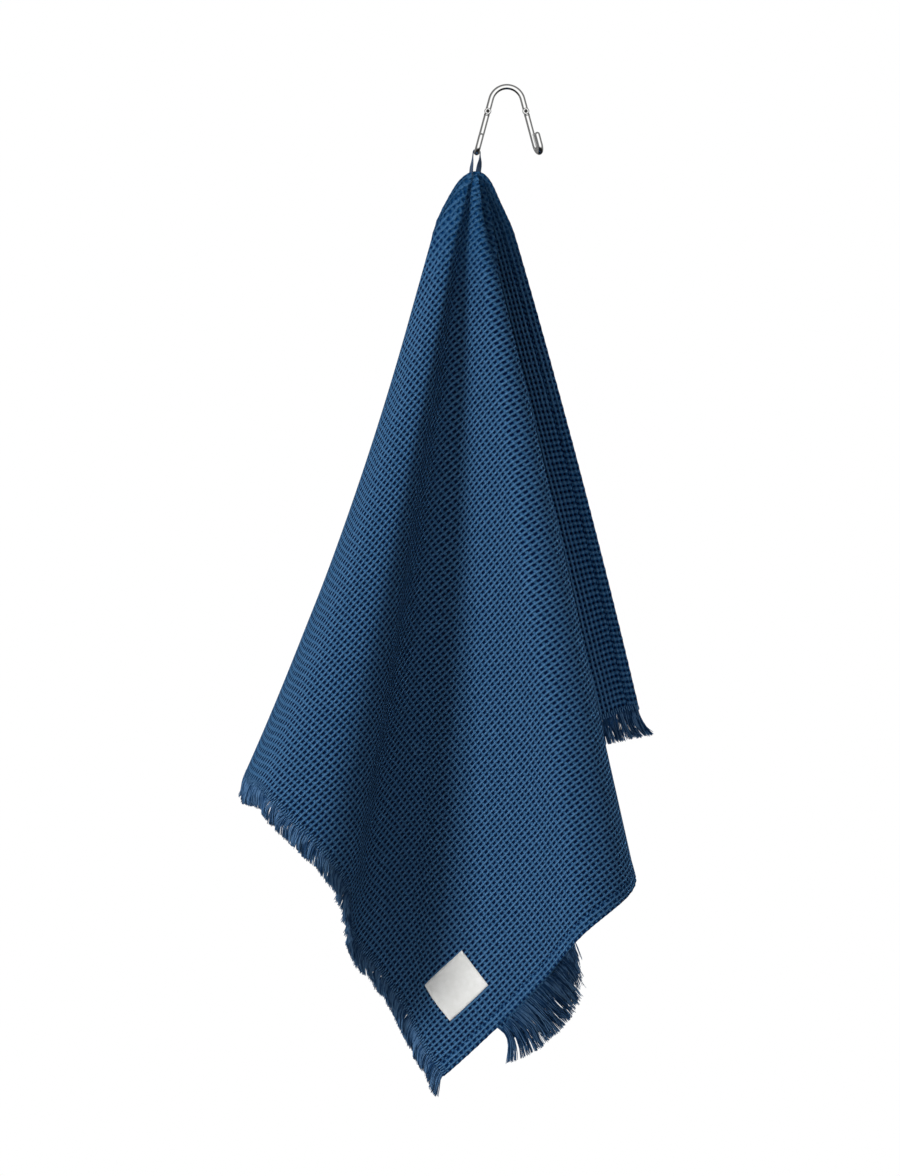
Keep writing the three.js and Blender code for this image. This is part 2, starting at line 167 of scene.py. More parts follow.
def fold_path(steps=24):
    """Points along a centripetal Catmull-Rom curve through the fold table, and their place in the table."""
    p = FOLDS[:, :2]
    points, places = [], []
    for i in range(len(p) - 1):
        before = p[i - 1] if i else 2 * p[0] - p[1]
        after = p[i + 2] if i + 2 < len(p) else 2 * p[-1] - p[-2]
        a, b = p[i], p[i + 1]
        d0, d1, d2 = (math.sqrt(np.hypot(*d)) for d in (a - before, b - a, after - b))
        leave = d1 * ((a - before) / d0 - (b - before) / (d0 + d1) + (b - a) / d1)
        reach = d1 * ((b - a) / d1 - (after - a) / (d1 + d2) + (after - b) / d2)
        for t in np.arange(steps + (i == len(p) - 2)) / steps:
            points.append(
                (2 * t**3 - 3 * t**2 + 1) * a
                + (t**3 - 2 * t**2 + t) * leave
                + (3 * t**2 - 2 * t**3) * b
                + (t**3 - t**2) * reach
            )
            places.append(i + t)
    return np.array(points), np.array(places)


RAY_BEARINGS = np.linspace(0, 180, 1441)
RAY_STEP = 2.5
RAY_REACH = 710.0
# The shifts below aren't in the solids. They set the visible cloth's outline a little nearer the photo's.
SHOULDER_BEARING = 78.0
SHOULDER_SPREAD = 11.0
SHOULDER_DOWN = 24.0
SHOULDER = np.array([4.2, -3.5, 0.0])
# Just below the loop the bunched cloth is narrower by this share.
NECK = 0.17
# Bearings that a shift spans and how softly, where on the rays it grows, and the shift in mm.
END_SHIFTS = (
    (23.5, 37.0, 2.0, (200, 520), (6.2, -1.5, 6.4)),
    (40.0, 45.0, 1.8, (250, 580), (7.0, -1.0, 4.5)),
    (170.0, 176.5, 2.5, (250, 450), (0.0, 0.0, -8.0)),
    (135.0, 150.0, 3.0, (400, 600), (6.0, 0.0, 1.0)),
)


def cast_rays():
    """Points of the hung cloth: a row for each bearing of the flat sheet, in steps out from the loop."""
    points, places = fold_path()
    length = np.r_[0, np.cumsum(np.hypot(*np.diff(points, axis=0).T))]
    bearings = length * 180 / length[-1]
    rows = np.arange(len(FOLDS))
    across, forward = (np.interp(RAY_BEARINGS, bearings, x)[:, None] for x in points.T)
    gather, flare = (
        np.interp(RAY_BEARINGS, bearings, np.interp(places, rows, x))[:, None] for x in FOLDS.T[2:]
    )
    distance = np.arange(0, RAY_REACH + RAY_STEP, RAY_STEP)
    fan = np.exp(-distance / gather)
    settled = across + flare * (distance / FLARE_MIDDLE - 1)
    a = np.radians(settled + (RAY_BEARINGS[:, None] - 90 - settled) * fan)
    b = np.radians(forward * (1 - np.exp(-distance / (DEPTH_GATHER_SHARE * gather))))
    heading = np.stack([np.sin(a) * np.cos(b), -np.sin(b), -np.cos(a) * np.cos(b)], -1)
    rays = np.zeros_like(heading)
    rays[:, 1:] = np.cumsum((heading[:, 1:] + heading[:, :-1]) * RAY_STEP / 2, axis=1)
    # Close below the loop the front's right fold stands out in a small shoulder.
    fold = np.exp(-(((RAY_BEARINGS[:, None] - SHOULDER_BEARING) / SHOULDER_SPREAD) ** 2))
    rise = distance / SHOULDER_DOWN * np.exp(1 - distance / SHOULDER_DOWN)
    rays += (fold * rise)[..., None] * SHOULDER
    rays[..., 0] *= 1 - NECK * smooth_step(60, 22, distance)
    # Parts of both short ends are shifted a little, to meet the photo's outline.
    for first, last, soft, outwards, shift in END_SHIFTS:
        band = smooth_step(first - soft, first + soft, RAY_BEARINGS)
        band = band * smooth_step(last + soft, last - soft, RAY_BEARINGS)
        rays += (band[:, None] * smooth_step(*outwards, distance))[..., None] * np.array(shift)
    return rays + TOWEL_TOP


RAYS = cast_rays()


def hung(along, down):
    """Where a point of the flat cloth hangs: along towards the left end, down from the loop's side."""
    bearing = np.degrees(np.arctan2(down, along))
    i = np.clip(bearing / 180, 0, 1) * (len(RAYS) - 1)
    j = np.hypot(along, down) / RAY_STEP
    i0 = np.minimum(i.astype(int), len(RAYS) - 2)
    j0 = np.minimum(j.astype(int), RAYS.shape[1] - 2)
    u, v = (i - i0)[..., None], (j - j0)[..., None]
    upper = RAYS[i0, j0] * (1 - v) + RAYS[i0, j0 + 1] * v
    lower = RAYS[i0 + 1, j0] * (1 - v) + RAYS[i0 + 1, j0 + 1] * v
    return upper * (1 - u) + lower * u


def facing(along, down):
    """The way the cloth's right side faces."""
    top = np.maximum(down - 1.5, 0)
    across = hung(along + 1.5, down) - hung(along - 1.5, down)
    fall = hung(along, top + 3) - hung(along, top)
    normal = unit(np.cross(across, fall))
    near = smooth_step(1, 4, np.hypot(along, down))[..., None]
    return unit(normal * near + np.array([0, -1, 0]) * (1 - near))


# Meshes


def add_mesh(name, points, faces, material, uv=None):
    """A smooth-shaded mesh from points in mm and lists of corners. uv gives each point's place on a map."""
    mesh = bpy.data.meshes.new(name)
    mesh.from_pydata((np.asarray(points) * 0.001).tolist(), [], [list(f) for f in faces])
    mesh.validate()
    for label, places in (uv or {}).items():
        layer = mesh.uv_layers.new(name=label)
        corners = np.empty(len(mesh.loops), int)
        mesh.loops.foreach_get("vertex_index", corners)
        layer.uv.foreach_set("vector", np.asarray(places, np.float32)[corners].ravel())
    mesh.polygons.foreach_set("use_smooth", [True] * len(mesh.polygons))
    mesh.materials.append(material)
    piece = bpy.data.objects.new(name, mesh)
    bpy.context.scene.collection.objects.link(piece)
    return piece


def grid_faces(rows, columns, first=0, wrap=False, flip=False):
    """Four-cornered faces between the points of a grid that starts at point first."""
    i, j = np.meshgrid(np.arange(rows - 1), np.arange(columns if wrap else columns - 1), indexing="ij")
    k = (j + 1) % columns
    quads = np.stack([i * columns + j, i * columns + k, (i + 1) * columns + k, (i + 1) * columns + j], -1)
    quads = quads.reshape(-1, 4) + first
    return quads[:, ::-1] if flip else quads


def frames_along(route, up=(0, -1, 0)):
    """Headings and two square-on directions at each point of a route, carried along without twist."""
    heading = unit(np.gradient(route, axis=0))
    sides = []
    side = np.asarray(up, float)
    for h in heading:
        side = unit(side - np.dot(side, h) * h)
        sides.append(side)
    sides = np.array(sides)
    return heading, sides, np.cross(heading, sides)


def tube(route, radius, sides, up=(0, -1, 0)):
    """Points and faces of a round bar along a route, with flat ends. radius is one for all or one a point."""
    route = np.asarray(route, float)
    _, a, b = frames_along(route, up)
    turn = np.arange(sides) * 2 * np.pi / sides
    radius = np.broadcast_to(radius, len(route))
    ring = a[:, None] * np.cos(turn)[:, None] + b[:, None] * np.sin(turn)[:, None]
    points = (route[:, None] + ring * radius[:, None, None]).reshape(-1, 3)
    faces = [tuple(f) for f in grid_faces(len(route), sides, wrap=True)]
    last = (len(route) - 1) * sides
    faces += [tuple(range(sides))[::-1], tuple(range(last, last + sides))]
    return points, faces


def resample(route, spacing):
    """The route again with even steps."""
    route = np.asarray(route, float)
    length = np.r_[0, np.cumsum(np.linalg.norm(np.diff(route, axis=0), axis=1))]
    at = np.linspace(0, length[-1], max(int(length[-1] / spacing), 2) + 1)
    return np.stack([np.interp(at, length, x) for x in route.T], 1)


# Shader maths as expressions


class Value:
    """A socket of a node tree. Sums and products of values add their Math nodes."""

    def __init__(self, tree, socket):
        self.tree, self.socket = tree, socket

    def maths(self, operation, *values):
        return self.tree.node("ShaderNodeMath", {"operation": operation}, dict(enumerate(values)))

    def __add__(self, other):
        return self.maths("ADD", self, other)

    def __sub__(self, other):
        return self.maths("SUBTRACT", self, other)

    def __rsub__(self, other):
        return self.maths("SUBTRACT", other, self)

    def __mul__(self, other):
        return self.maths("MULTIPLY", self, other)

    def __truediv__(self, other):
        return self.maths("DIVIDE", self, other)

    def __pow__(self, other):
        return self.maths("POWER", self, other)

    __radd__ = __add__
    __rmul__ = __mul__

    def sin(self):
        return self.maths("SINE", self)

    def cos(self):
        return self.maths("COSINE", self)

    def size(self):
        return self.maths("ABSOLUTE", self)

    def or_more(self, other):
        return self.maths("MAXIMUM", self, other)

    def step(self, low, high):
        """0 below low and 1 above high, with a soft change between. low may be the higher one."""
        sockets = {"Value": self, "From Min": low, "From Max": high}
        return self.tree.node("ShaderNodeMapRange", {"interpolation_type": "SMOOTHSTEP"}, sockets)


class Tree:
    """The nodes of a material or of the world."""

    def __init__(self, owner):
        owner.use_nodes = True
        self.nodes = owner.node_tree.nodes
        self.links = owner.node_tree.links

    def node(self, kind, settings=None, sockets=None, output=0):
        node = self.nodes.new(kind)
        for name, value in (settings or {}).items():
            setattr(node, name, value)
        for name, value in (sockets or {}).items():
            self.feed(node.inputs[name], value)
        return Value(self, node.outputs[output])

    def feed(self, socket, value):
        if isinstance(value, Value):
            self.links.new(value.socket, socket)
        elif isinstance(value, tuple) and len(value) == 3 and len(socket.default_value) == 4:
            socket.default_value = (*value, 1)
        else:
            socket.default_value = value

    def parts(self, vector):
        """The x, y and z of a vector."""
        return [self.node("ShaderNodeSeparateXYZ", sockets={0: vector}, output=k) for k in range(3)]

    def blend(self, share, first, second):
        """A colour between two, by share."""
        return self.node("ShaderNodeMix", {"data_type": "RGBA"}, {0: share, 6: first, 7: second}, 2)


class Finish(Tree):
    """One material. Values given to it are the same all over the surface."""

    def __init__(self, name, **values):
        self.material = bpy.data.materials.new(name)
        super().__init__(self.material)
        self.shader = self.nodes["Principled BSDF"]
        self.shade(**values)

    def shade(self, **values):
        for name, value in values.items():
            self.feed(self.shader.inputs[name.replace("_", " ")], value)

    def place(self):
        """Where the surface is, in metres."""
        return self.node("ShaderNodeTexCoord", output="Object")

    def on_map(self, name):
        """The two coordinates of a map of the mesh."""
        return self.parts(self.node("ShaderNodeUVMap", {"uv_map": name}))[:2]

    def noise(self, where, scale, detail=2.0, roughness=0.5):
        sockets = {"Vector": where, "Scale": scale, "Detail": detail, "Roughness": roughness}
        return self.node("ShaderNodeTexNoise", sockets=sockets)

    def bump(self, height, distance):
        sockets = {"Height": height, "Distance": distance, "Strength": 1.0}
        return self.node("ShaderNodeBump", sockets=sockets)


# The waffle's colours: a painted highlight for the crests, the ribs' own tone, and painted shade for the
# flanks and the pits.
PAINTED_HIGHLIGHT_BLUE = (0.085, 0.202, 0.372)
RIB_BLUE = (0.009, 0.059, 0.155)
FLANK_SHADE_BLUE = (0.0012, 0.026, 0.098)
PIT_SHADE_BLUE = (0.0004, 0.0055, 0.034)
THREAD_BLUE = (0.085, 0.18, 0.33)
DARK_THREAD = (0.007, 0.037, 0.105)


def waffle_cotton():
    """Waffle weave on the flat cloth: broad ribs along the towel, lower ribs across, and pits. Its colour
    holds painted light: a painted highlight on the crests, and painted shade on the flanks and in the pits.
    """
    f = Finish("navy waffle cotton", Roughness=0.95, Sheen_Weight=0.04, Sheen_Roughness=0.5)
    f.shade(Sheen_Tint=(0.25, 0.5, 0.95), Specular_IOR_Level=0.05)
    along, down = f.on_map("cloth")
    where = f.place()
    row_drift = f.noise(where, 30.0, 3.0) - 0.5
    cell_drift = f.noise(where, 37.0, 3.0) - 0.5
    uneven = f.noise(where, 420.0, 2.0) - 0.5
    from_middle = (down - TOWEL_WIDTH / 2).size()
    from_edge = TOWEL_WIDTH / 2 - from_middle
    hem = from_edge.step(HEM_WIDTH + 0.6, HEM_WIDTH - 0.6)
    # Near the loop the cloth is bunched: its cells are pulled out of shape and shallower, and its crests get
    # less painted highlight, a painted shade.
    bunched_with_painted_shade = ((along**2 + down**2) ** 0.5).step(130, 30)
    row = down / CELL_DOWN + row_drift * 0.45 + uneven * (0.16 + hem * 0.2 + bunched_with_painted_shade * 0.7) + hem * 0.35
    cell = along / CELL_ALONG + cell_drift * 0.5 + uneven * (0.2 + hem * 0.3) + hem * 0.3
    # Both are 0 on a rib's crest and 1 midway between two ribs.
    from_rib = 0.5 - (row * (2 * math.pi)).cos() * 0.5
    from_cross_rib = 0.5 - (cell * (2 * math.pi)).cos() * 0.5
    pit = from_rib.step(0.25, 0.85) * (0.1 + from_cross_rib.step(0.2, 0.8) * 0.9) * (1 - bunched_with_painted_shade * 0.5)
    # Along the upper hem of the right end the ribs across the towel are the ones that stand out.
    crosswise = down.step(32, 10) * (along * -1).step(150, 260) * 0.6
    pit = pit + (from_cross_rib.step(0.4, 0.9) * (0.45 + from_rib.step(0.15, 0.8) * 0.55) - pit) * crosswise
    seam = from_edge.step(HEM_WIDTH - 0.9, HEM_WIDTH) * from_edge.step(HEM_WIDTH + 0.9, HEM_WIDTH)
    stitch = (along * (2 * math.pi / HEM_STITCH)).sin().step(-0.75, 0.2)
    # The last few mm of each short end are loose, with their cross threads gone.
    loose = (HALF_LENGTH - along.size()).step(6.0, 3.5)
    loose_threads = (down * (2 * math.pi / LOOSE_THREAD_SPACING) + uneven * 9).sin()
    pit = (pit * (1 - hem * 0.3)).or_more(seam * (0.55 - stitch * 0.35)) * (1 - loose)
    yarns = (along * (2 * math.pi / 0.95)).sin() * (1 - pit) * 0.08
    fuzz = f.noise(where, 1500.0, 3.0)
    relief = from_rib + (from_cross_rib - from_rib) * crosswise
    height = 1 - pit - relief * 0.35 * (1 - loose) + loose_threads * loose * 0.4 + yarns + fuzz * 0.3
    # Painted shade darkens the flanks and pits, and a painted highlight lightens the crests.
    flank = f.blend(pit.step(0.4, 0.85), FLANK_SHADE_BLUE, PIT_SHADE_BLUE)
    # Near the loop the crests' painted highlight is weaker, a painted shade.
    painted_crest_highlight = relief.step(0.6, 0.03).or_more(from_cross_rib.step(0.5, 0.05) * 0.5) * (1 - bunched_with_painted_shade * 0.45)
    crest = f.blend((fuzz.step(0.36, 0.6) * 0.85 + 0.15) * painted_crest_highlight, RIB_BLUE, PAINTED_HIGHLIGHT_BLUE)
    colour = f.blend(pit.step(0.12, 0.55), crest, flank)
    # The loose threads at the ends are painted light, with painted shade between them.
    colour = f.blend(loose, colour, f.blend(loose_threads.step(-0.6, 0.7), FLANK_SHADE_BLUE, PAINTED_HIGHLIGHT_BLUE))
    f.shade(Base_Color=colour, Normal=f.bump(height, 0.003))
    return f.material


def fringe_cotton(name, paleness_and_painted_shade):
    """Loose thread. The right end is given a darker tone, to stand for the deep shade it has in the photo."""
    f = Finish(name, Roughness=0.9, Sheen_Weight=0.05, Sheen_Roughness=0.5)
    f.shade(Sheen_Tint=(0.25, 0.5, 0.95), Specular_IOR_Level=0.08)
    where = f.place()
    twist, thread = f.on_map("thread")
    spiral = (twist * 5.0 + thread * 3.0).sin()
    # Each thread has a tone of its own, and pales towards its tip; the darker tone near the root is painted
    # shade.
    tone = (thread * 5.3).sin() * 0.42 + f.noise(where, 160.0, 2.0) + twist * 0.012 + paleness_and_painted_shade
    f.shade(Base_Color=f.blend(tone.step(0.1, 0.9), DARK_THREAD, THREAD_BLUE))
    f.shade(Normal=f.bump(spiral, 0.0002))
    return f.material


def tape_cotton():
    f = Finish("navy cotton tape", Roughness=0.85, Sheen_Weight=0.1, Specular_IOR_Level=0.3)
    run, across = f.on_map("tape")
    rows = (run * (2 * math.pi / 0.9)).sin()
    cords = (across * (2 * math.pi / 0.8)).sin()
    height = rows * cords * 0.5 + cords * 0.4
    shade = height.step(-0.6, 0.8)
    f.shade(Base_Color=f.blend(shade, (0.012, 0.03, 0.07), (0.05, 0.092, 0.165)))
    f.shade(Normal=f.bump(height, 0.0003))
    return f.material


def label_ribbon():
    f = Finish("off-white label ribbon", Roughness=0.8, Sheen_Weight=0.05, Specular_IOR_Level=0.3)
    along, down = f.on_map("cloth")
    where = f.place()
    weft = (along * (2 * math.pi / 0.42)).sin()
    warp = (down * (2 * math.pi / 0.36)).sin()
    height = weft * warp + f.noise(where, 1500.0) * 0.8
    tone = f.noise(where, 220.0, 3.0).step(0.3, 0.7)
    colour = f.blend(tone, (0.9, 0.9, 0.875), (0.97, 0.97, 0.95))
    # The weave's low places are painted darker, a painted shade.
    f.shade(Base_Color=f.blend(height.step(-0.9, 0.4), (0.8, 0.8, 0.77), colour))
    f.shade(Normal=f.bump(height, 0.00012))
    return f.material


def label_thread():
    f = Finish("off-white sewing thread", Roughness=0.7, Specular_IOR_Level=0.3)
    where = f.place()
    tone = f.noise(where, 900.0)
    f.shade(Base_Color=f.blend(tone, (0.72, 0.72, 0.69), (0.92, 0.92, 0.9)))
    return f.material


def chromed_steel():
    f = Finish("chromed steel", Metallic=1.0)
    where = f.place()
    haze = f.noise(where, 240.0, 4.0, 0.6)
    scuffs = f.noise(where, 1400.0, 2.0).step(0.55, 0.8)
    f.shade(Base_Color=f.blend(haze, (0.86, 0.86, 0.85), (0.95, 0.95, 0.94)))
    f.shade(Roughness=0.07 + haze * 0.05 + scuffs * 0.06, Normal=f.bump(haze, 0.00005))
    return f.material


def dark_joint_and_painted_reflection():
    # Used for the joint lines' dark oxide, and for the rivets' cores, whose darkness is a painted dark
    # reflection.
    f = Finish("oxide in the joint and painted reflection in the rivets", Metallic=0.6)
    where = f.place()
    tone = f.noise(where, 700.0, 3.0)
    f.shade(Base_Color=f.blend(tone, (0.02, 0.02, 0.02), (0.06, 0.058, 0.055)), Roughness=0.5 + tone * 0.2)
    return f.material


WAFFLE = waffle_cotton()
LEFT_THREAD = fringe_cotton("loose cotton thread, left end", -0.05)
# The right end's lower paleness is painted shade.
RIGHT_THREAD = fringe_cotton("loose cotton thread, right end", -0.27)
TAPE = tape_cotton()
RIBBON = label_ribbon()
LABEL_SEWING = label_thread()
CHROME = chromed_steel()
JOINT_DARK_AND_PAINTED_REFLECTION = dark_joint_and_painted_reflection()

# The cloth: a thin sheet of two sides, on rays and rings of the flat sheet, closed round its edge.

CORNER = math.degrees(math.atan2(TOWEL_WIDTH, HALF_LENGTH))
HEM_BEARINGS = [0, 0.35, 0.7, 1.05, 1.35]


def sheet_bearings():
    """Bearings of the sheet's rays: closest together at the upper hem, and through both lower corners."""
    left = np.r_[HEM_BEARINGS, np.linspace(1.8, CORNER, 106)]
    middle = np.linspace(CORNER, 180 - CORNER, 200)
    return np.r_[left, middle[1:-1], 180 - left[::-1]]


# Between these distances from the loop, in mm, creases and ripples grow to their full height.
FAR_FROM_LOOP = (15, 60)


def soft_creases(along, down):
    """Small troughs and ridges of the cloth, in mm towards its right side."""
    creases = (
        # along, down, heading in degrees, length, width, height
        (60, 130, 68, 150, 9, 0.9),
        (95, 90, 50, 110, 8, -0.8),
        (24, 70, 80, 90, 6, -1.0),
        (170, 300, 60, 200, 22, 1.2),
        (255, 240, 40, 190, 20, -1.0),
        (330, 330, 30, 120, 16, 0.9),
        (190, 430, 64, 120, 14, -0.9),
        (400, 120, 12, 120, 14, 0.9),
        (300, 440, 75, 90, 12, 0.8),
        (420, 300, 85, 110, 12, 0.9),
        (-120, 250, 110, 220, 20, 1.2),
        (-260, 180, 140, 200, 18, -1.1),
        (-330, 330, 125, 160, 18, 1.0),
        (-200, 400, 105, 150, 14, -1.0),
        (-400, 120, 165, 140, 14, 1.1),
        (-420, 380, 95, 120, 12, -1.0),
        (20, 380, 90, 220, 18, -1.1),
        (-40, 440, 80, 120, 14, 1.0),
    )
    total = np.zeros_like(along)
    for at, below, heading, length, width, height in creases:
        c, s = math.cos(math.radians(heading)), math.sin(math.radians(heading))
        run = (along - at) * c + (down - below) * s
        aside = -(along - at) * s + (down - below) * c
        total += height * np.exp(-((aside / width) ** 2) - (run / (0.6 * length)) ** 4)
    return total


def hem_ripple(along):
    """The small waves of a sewn long side, in mm towards the cloth's right side."""
    return HEM_RIPPLE_HEIGHT * np.sin(along * 2 * np.pi / HEM_RIPPLE_SPACING)


def towel_cloth():
    bearings = sheet_bearings()
    rings = np.r_[0, np.geomspace(0.006, 0.2, 26), np.linspace(0.22, 0.975, 62), [0.985, 0.992, 0.997, 1]]
    t = np.radians(bearings)
    reach = np.minimum(
        HALF_LENGTH / np.maximum(np.abs(np.cos(t)), 1e-6), TOWEL_WIDTH / np.maximum(np.sin(t), 1e-6)
    )
    distance = rings[None] * reach[:, None]
    along = distance * np.cos(t)[:, None]
    down = distance * np.sin(t)[:, None]
    edge = np.minimum(down, TOWEL_WIDTH - down)
    hem = 1 - smooth_step(HEM_WIDTH - 1.5, HEM_WIDTH + 0.5, edge)
    # A line of stitches draws the hem in, and its fold is puffed between the stitches and the edge.
    stitched = np.exp(-(((edge - HEM_WIDTH) / 1.2) ** 2))
    rounded = np.sqrt(np.clip(edge / 1.2, 0.02, 1))
    half = (CLOTH_THICKNESS + HEM_EXTRA * hem - 0.5 * stitched) / 2 * rounded
    normal = facing(along, down)
    far = smooth_step(*FAR_FROM_LOOP, distance)
    middle = hung(along, down) + normal * (soft_creases(along, down) * far)[..., None]
    middle += normal * (hem_ripple(along) * np.exp(-((edge / HEM_WIDTH) ** 2)) * far)[..., None]
    right = (middle + normal * half[..., None]).reshape(-1, 3)
    wrong = (middle - normal * half[..., None]).reshape(-1, 3)
    rows, columns = along.shape
    count = rows * columns
    faces = [grid_faces(rows, columns), grid_faces(rows, columns, count, flip=True)]
    far_side = [i * columns + columns - 1 for i in range(1, rows)]
    back = [(rows - 1) * columns + j for j in range(columns - 1)[::-1]]
    rim = np.array([*range(columns), *far_side, *back])
    faces.append(np.stack([rim[:-1], rim[:-1] + count, rim[1:] + count, rim[1:]], -1))
    flat = np.stack([along, down], -1).reshape(-1, 2)
    share = (flat + [HALF_LENGTH, 0]) / [2 * HALF_LENGTH, TOWEL_WIDTH]
    bake = np.concatenate([share * [0.49, 0.98] + [0.005, 0.01], share * [0.49, 0.98] + [0.505, 0.01]])
    maps = {"cloth": np.concatenate([flat, flat]), "OFBake": bake}
    return add_mesh("towel_cloth_sheet", np.concatenate([right, wrong]), np.concatenate(faces), WAFFLE, maps)


cloth = towel_cloth()

# The rolled edge of each hem: a soft cord of cloth that bulges with the waffle's cells.


def hem_edge(name, down):
    along = np.arange(-HALF_LENGTH, HALF_LENGTH + 0.1, 1.1)
    down = np.full_like(along, down)
    inward = -1 if down[0] > 0 else 1
    route = hung(along, down + 0.6 * inward)
    normal = facing(along, down)
    far = smooth_step(*FAR_FROM_LOOP, np.hypot(along, down))
    route = route + normal * ((hem_ripple(along) + soft_creases(along, down)) * far)[:, None]
    bulge = 1.02 + 0.16 * np.abs(np.sin(along * np.pi / CELL_ALONG)) + rng.normal(0, 0.025, len(along))
    points, faces = tube(route, bulge, 8, up=normal[0])
    turn = np.tile(np.arange(8), len(along))
    flat = np.stack([np.repeat(along, 8), np.repeat(down, 8) + 0.8 * np.cos(turn * np.pi / 4)], -1)
    return add_mesh(name, points, faces, WAFFLE, {"cloth": flat})


upper_edge = hem_edge("upper_hem_edge", 0.0)
lower_edge = hem_edge("lower_hem_edge", TOWEL_WIDTH)

# The fringes: loose threads that leave the cut end in small clumps.


def drift(spots, spacing, spread):
    """A number for each spot along an end that changes smoothly over the given spacing, in mm."""
    knots = np.arange(-spacing, TOWEL_WIDTH + 2 * spacing, spacing)
    heights = rng.normal(0, spread, len(knots))
    k = np.clip(((spots - knots[0]) / spacing).astype(int), 0, len(knots) - 2)
    t = (spots - knots[k]) / spacing
    return heights[k] + (heights[k + 1] - heights[k]) * t * t * (3 - 2 * t)


def fringe(name, side, material, threads=FRINGE_THREADS, steps=6, sides=4):
    """Threads from the left end (side 1) or the right end (side -1) that leave it square and droop."""
    right_end = side < 0
    spots = np.sort(rng.uniform(0.4, TOWEL_WIDTH - 0.4, threads))
    clump = np.round(spots / FRINGE_CLUMP + 0.4 * np.sin(spots * 0.7)) * FRINGE_CLUMP
    pull = rng.uniform(0, 0.16, threads) * np.clip(drift(spots, 9, 0.5), 0, 1) * (0.4 if right_end else 1)
    # Shares of a thread's place: next to the lower corner, next to the upper one, and in the rear fold.
    low = smooth_step(TOWEL_WIDTH - 18, TOWEL_WIDTH, spots)
    high = smooth_step(40, 0, spots)
    rear = smooth_step(320, 400, spots) if right_end else 0 * spots
    length = FRINGE_LENGTH + drift(spots, 7, 0.5) + rng.normal(0, 0.35, threads) + 3.5 * low + 8 * rear
    length = length + (7 * smooth_step(75, 5, spots) + 2 * high if right_end else 0)
    # A few threads are broken off short.
    length = np.where(rng.random(threads) < 0.03, length * rng.uniform(0.6, 0.9, threads), length)
    # In the rear fold the threads start further in and run longer, over the last cells of the weave.
    length = length + 10 * rear * (1 - 0.9 * low)
    start = side * (HALF_LENGTH - 1.2 - 11 * rear)
    normal = facing(start, spots)
    level = rng.uniform(-0.6, 0.6, threads)
    root = hung(start, spots) + normal * (level + np.sign(level) * 0.8 * rear)[:, None]
    outwards = unit(hung(start + side * 9, spots) - hung(start + side * 2, spots))
    below, above = np.minimum(spots + 1, TOWEL_WIDTH), np.maximum(spots - 1, 0)
    downwards = unit(hung(start, below) - hung(start, above))
    t = np.linspace(0, 1, steps + 1)[None, :, None]
    droop = (0.5 - 0.25 * rear + 0.4 * low if right_end else 0.93) + drift(spots, 8, 0.06)
    droop = (droop + rng.normal(0, 0.03, threads))[:, None, None]
    # The threads next to the upper corner of the right end fan outwards, and the lowest curl under.
    fan = (low * 0.7 - 0.85 * high if right_end else 0 * high)[:, None, None]
    stray = 0.3 if right_end else 0.75
    sway = (drift(spots, 9, 0.16) * stray + rng.normal(0, 0.06, threads))[:, None, None]
    curl = (drift(spots, 8, 0.2) * stray + rng.normal(0, 0.06, threads))[:, None, None]
    lift = (drift(spots, 5, 0.2) + rng.normal(0, 0.14, threads))[:, None, None]
    share = droop * np.minimum(t * 1.5, 1) ** 0.8
    heading = outwards[:, None] * (1 - share) + np.array([0, 0, -1]) * share
    heading = heading + downwards[:, None] * (fan * t + sway * np.sin(3 * t) + curl * np.sin(6 * t))
    heading = unit(heading + normal[:, None] * (lift * t + 0.06 * np.sin(5.5 * t + curl * 9)))
    stride = (length / steps)[:, None, None]
    travel = np.cumsum((heading[:, 1:] + heading[:, :-1]) / 2, 1)
    route = np.concatenate([np.zeros((threads, 1, 3)), travel], 1)
    route = root[:, None] + route * stride
    route = route + downwards[:, None] * ((pull * (clump - spots))[:, None, None] * t**0.7)
    beside = unit(np.cross(normal[:, None], heading))
    over = np.cross(heading, beside)
    thick = rng.uniform(0.3, 0.46, threads)[:, None, None] * (1 - 0.5 * t**4)
    turn = np.arange(sides) * 2 * np.pi / sides
    ring = beside[:, :, None] * np.cos(turn)[:, None] + over[:, :, None] * np.sin(turn)[:, None]
    points = route[:, :, None] + ring * thick[..., None]
    count = (steps + 1) * sides
    caps = [[3, 2, 1, 0], np.arange(4) + steps * sides]
    one = np.concatenate([grid_faces(steps + 1, sides, wrap=True), caps])
    faces = (one[None] + (np.arange(threads) * count)[:, None, None]).reshape(-1, 4)
    run = t * length[:, None, None] + turn * 0.2
    own_tone = np.broadcast_to((np.arange(threads) * 0.7)[:, None, None], run.shape)
    uv = np.stack([run, own_tone], -1)
    return add_mesh(name, points.reshape(-1, 3), faces, material, {"thread": uv.reshape(-1, 2)})


left_fringe = fringe("left_fringe_threads", 1, LEFT_THREAD)
right_fringe = fringe("right_fringe_threads", -1, RIGHT_THREAD)

# The label: a bare square of ribbon, its edges turned under and sewn down with small stitches.

LABEL = (379.0, 420.0, 433.5, 467.5)  # along from, along to, down from, down to
LABEL_SEAM = 1.5  # mm inside the label's edge
LABEL_STITCH = 2.4


